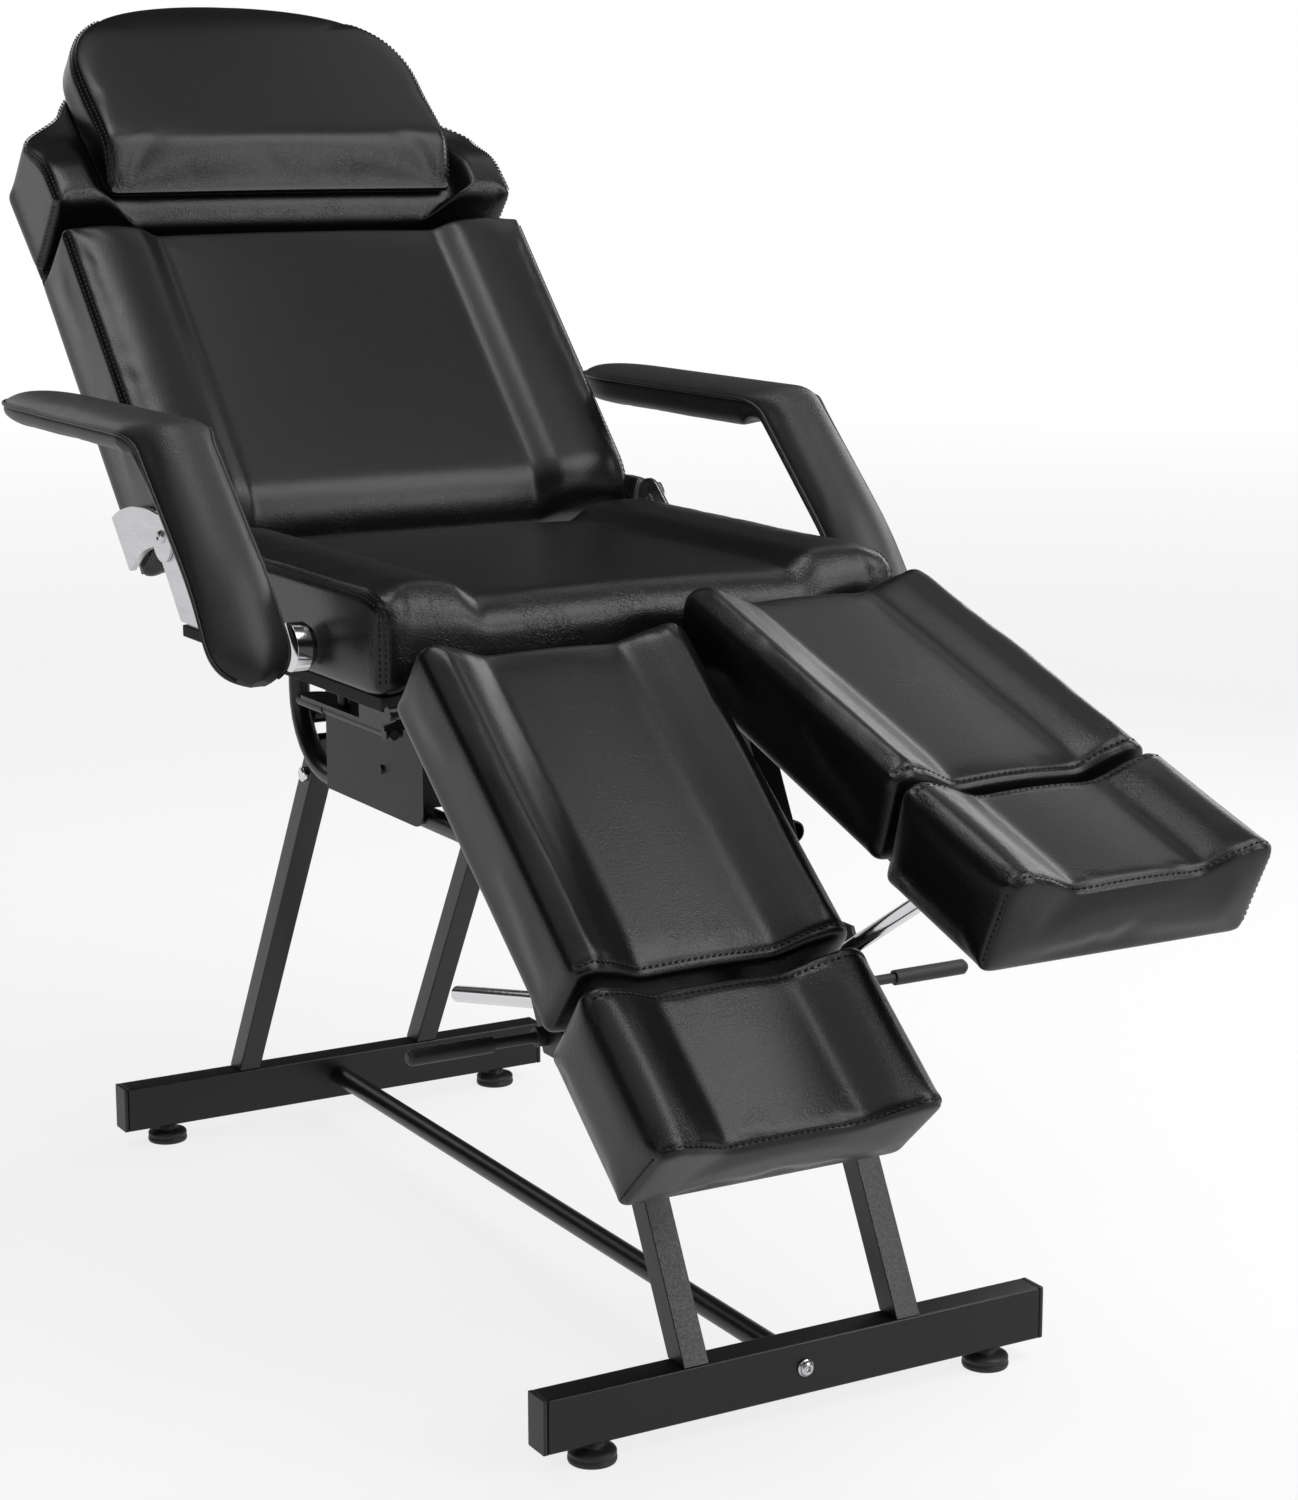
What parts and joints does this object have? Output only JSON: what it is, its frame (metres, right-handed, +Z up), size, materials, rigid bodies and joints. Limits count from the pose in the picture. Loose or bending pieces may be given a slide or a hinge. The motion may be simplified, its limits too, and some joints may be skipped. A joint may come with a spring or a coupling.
{
  "type": "facial bed",
  "caption": "Reclining padded facial bed with bolstered seat and back, tilting head rest with pillow, bent arm pads and split leg rests with sliding foot pads, on a splayed tube frame.",
  "frame": {"origin": "on the floor, under the centre of the bed's bounding box in the pictured pose", "axes": "+X along the bed towards the foot end, +Y across the bed to the right of a viewer who stands at the foot end, +Z up"},
  "size_m": [1.6336, 0.792, 1.2711],
  "materials": {
    "leather": "satin",
    "board": "matte",
    "black_paint": "satin",
    "grey_paint": "satin",
    "chrome": "polished",
    "rubber": "matte",
    "plastic": "matte"
  },
  "bodies": {
    "frame": {"front_base_bar": "black_paint", "rear_base_bar": "black_paint", "end_cap_front_left": "plastic", "end_cap_front_right": "plastic", "end_cap_rear_left": "plastic", "end_cap_rear_right": "plastic", "centre_tube": "black_paint", "centre_bolt": "chrome", "front_upright_left": "black_paint", "front_upright_right": "black_paint", "rear_upright_left": "black_paint", "rear_upright_right": "black_paint", "rear_upright_bolt_left": "chrome", "rear_upright_bolt_right": "chrome", "side_tube_left": "black_paint", "side_tube_right": "black_paint", "side_panel_left": "grey_paint", "side_panel_right": "grey_paint", "leg_pivot_shaft": "black_paint", "rear_cross_bar": "black_paint", "seat_board": "board", "seat_cushion": "leather", "seat_hinge_plate_left": "chrome", "seat_hinge_plate_right": "chrome", "back_pivot_bolt_left": "chrome", "back_pivot_bolt_right": "chrome", "arm_pivot_left": "chrome", "arm_pivot_right": "chrome", "lever_plate": "black_paint"},
    "back": {"back_cushion": "leather", "back_board": "board", "back_hinge_plate_left": "chrome", "back_hinge_plate_right": "chrome", "back_strut_bracket": "black_paint"},
    "back_strut": {"back_strut": "chrome"},
    "head": {"head_cushion": "leather", "head_board": "board"},
    "pillow": {"pillow": "leather"},
    "leg_left": {"calf_pad_left": "leather", "calf_board_left": "board", "leg_frame_left": "black_paint"},
    "leg_right": {"calf_pad_right": "leather", "calf_board_right": "board", "leg_frame_right": "black_paint"},
    "foot_left": {"foot_pad_left": "leather", "foot_slide_left": "black_paint"},
    "foot_right": {"foot_pad_right": "leather", "foot_slide_right": "black_paint"},
    "strut_left": {"leg_strut_left": "chrome"},
    "strut_right": {"leg_strut_right": "chrome"},
    "lever_left": {"leg_lever_left": "rubber"},
    "lever_right": {"leg_lever_right": "rubber"},
    "arm_left": {"arm_pad_left": "leather"},
    "arm_right": {"arm_pad_right": "leather"},
    "release": {"release_lever": "black_paint"},
    "level_front_left": {"levelling_foot_front_left": "rubber"},
    "level_front_right": {"levelling_foot_front_right": "rubber"},
    "level_rear_left": {"levelling_foot_rear_left": "rubber"},
    "level_rear_right": {"levelling_foot_rear_right": "rubber"}
  },
  "joints": [
    {"name": "back_recline", "type": "hinge", "parent": "frame", "child": "back", "pos_m": [-0.23417, 0, 0.725], "axis": [0, 1, 0], "range_deg": [-46.4, 26]},
    {"name": "back_strut_turn", "type": "hinge", "parent": "back", "child": "back_strut", "pos_m": [-0.48072, 0, 0.76639], "axis": [0, 1, 0], "range_deg": [-14, 24]},
    {"name": "head_tilt", "type": "hinge", "parent": "back", "child": "head", "pos_m": [-0.614, 0, 0.96536], "axis": [0, 1, 0], "range_deg": [-35, 5]},
    {"name": "pillow_slide", "type": "slide", "parent": "head", "child": "pillow", "axis": [-0.7547, 0, 0.6561], "range_m": [0, 0.06]},
    {"name": "leg_left_tilt", "type": "hinge", "parent": "frame", "child": "leg_left", "pos_m": [0.25583, -0.1425, 0.622], "axis": [0, 1, 0], "range_deg": [-39, 9]},
    {"name": "leg_right_tilt", "type": "hinge", "parent": "frame", "child": "leg_right", "pos_m": [0.25583, 0.1425, 0.622], "axis": [0, 1, 0], "range_deg": [-18.3, 29.7]},
    {"name": "strut_left_turn", "type": "hinge", "parent": "leg_left", "child": "strut_left", "pos_m": [0.51828, -0.15, 0.39789], "axis": [0, 1, 0], "range_deg": [-1.5, 5]},
    {"name": "strut_right_turn", "type": "hinge", "parent": "leg_right", "child": "strut_right", "pos_m": [0.58055, 0.15, 0.50513], "axis": [0, 1, 0], "range_deg": [-4.6, 2.9]},
    {"name": "foot_left_slide", "type": "slide", "parent": "leg_left", "child": "foot_left", "axis": [0.7771, 0, -0.6293], "range_m": [-0.005, 0.1]},
    {"name": "foot_right_slide", "type": "slide", "parent": "leg_right", "child": "foot_right", "axis": [0.9494, 0, -0.314], "range_m": [-0.005, 0.1]},
    {"name": "lever_left_turn", "type": "hinge", "parent": "frame", "child": "lever_left", "pos_m": [0.34783, -0.23, 0.332], "axis": [0, 1, 0], "range_deg": [0, 120]},
    {"name": "lever_right_turn", "type": "hinge", "parent": "frame", "child": "lever_right", "pos_m": [0.34783, 0.23, 0.332], "axis": [0, 1, 0], "range_deg": [0, 120]},
    {"name": "arm_left_fold", "type": "hinge", "parent": "frame", "child": "arm_left", "pos_m": [0.11533, -0.288, 0.664], "axis": [0, 1, 0], "range_deg": [-75, 0]},
    {"name": "arm_right_fold", "type": "hinge", "parent": "frame", "child": "arm_right", "pos_m": [0.11533, 0.288, 0.664], "axis": [0, 1, 0], "range_deg": [-75, 0]},
    {"name": "release_press", "type": "hinge", "parent": "frame", "child": "release", "pos_m": [0.21583, -0.246, 0.594], "axis": [0, 1, 0], "range_deg": [-12, 0], "stiffness_Nm_per_rad": 1.5, "springref_deg": 5.73},
    {"name": "level_front_left_turn", "type": "hinge", "parent": "frame", "child": "level_front_left", "pos_m": [0.51583, -0.209, 0.01], "axis": [0, 0, 1], "continuous": true},
    {"name": "level_front_right_turn", "type": "hinge", "parent": "frame", "child": "level_front_right", "pos_m": [0.51583, 0.209, 0.01], "axis": [0, 0, 1], "continuous": true},
    {"name": "level_rear_left_turn", "type": "hinge", "parent": "frame", "child": "level_rear_left", "pos_m": [-0.48417, -0.209, 0.01], "axis": [0, 0, 1], "continuous": true},
    {"name": "level_rear_right_turn", "type": "hinge", "parent": "frame", "child": "level_rear_right", "pos_m": [-0.48417, 0.209, 0.01], "axis": [0, 0, 1], "continuous": true}
  ],
  "couplings": [
    {"joint": "back_strut_turn", "follows": "back_recline", "ratio": -0.5},
    {"joint": "strut_left_turn", "follows": "leg_left_tilt", "ratio": -0.12},
    {"joint": "strut_right_turn", "follows": "leg_right_tilt", "ratio": -0.15}
  ]
}
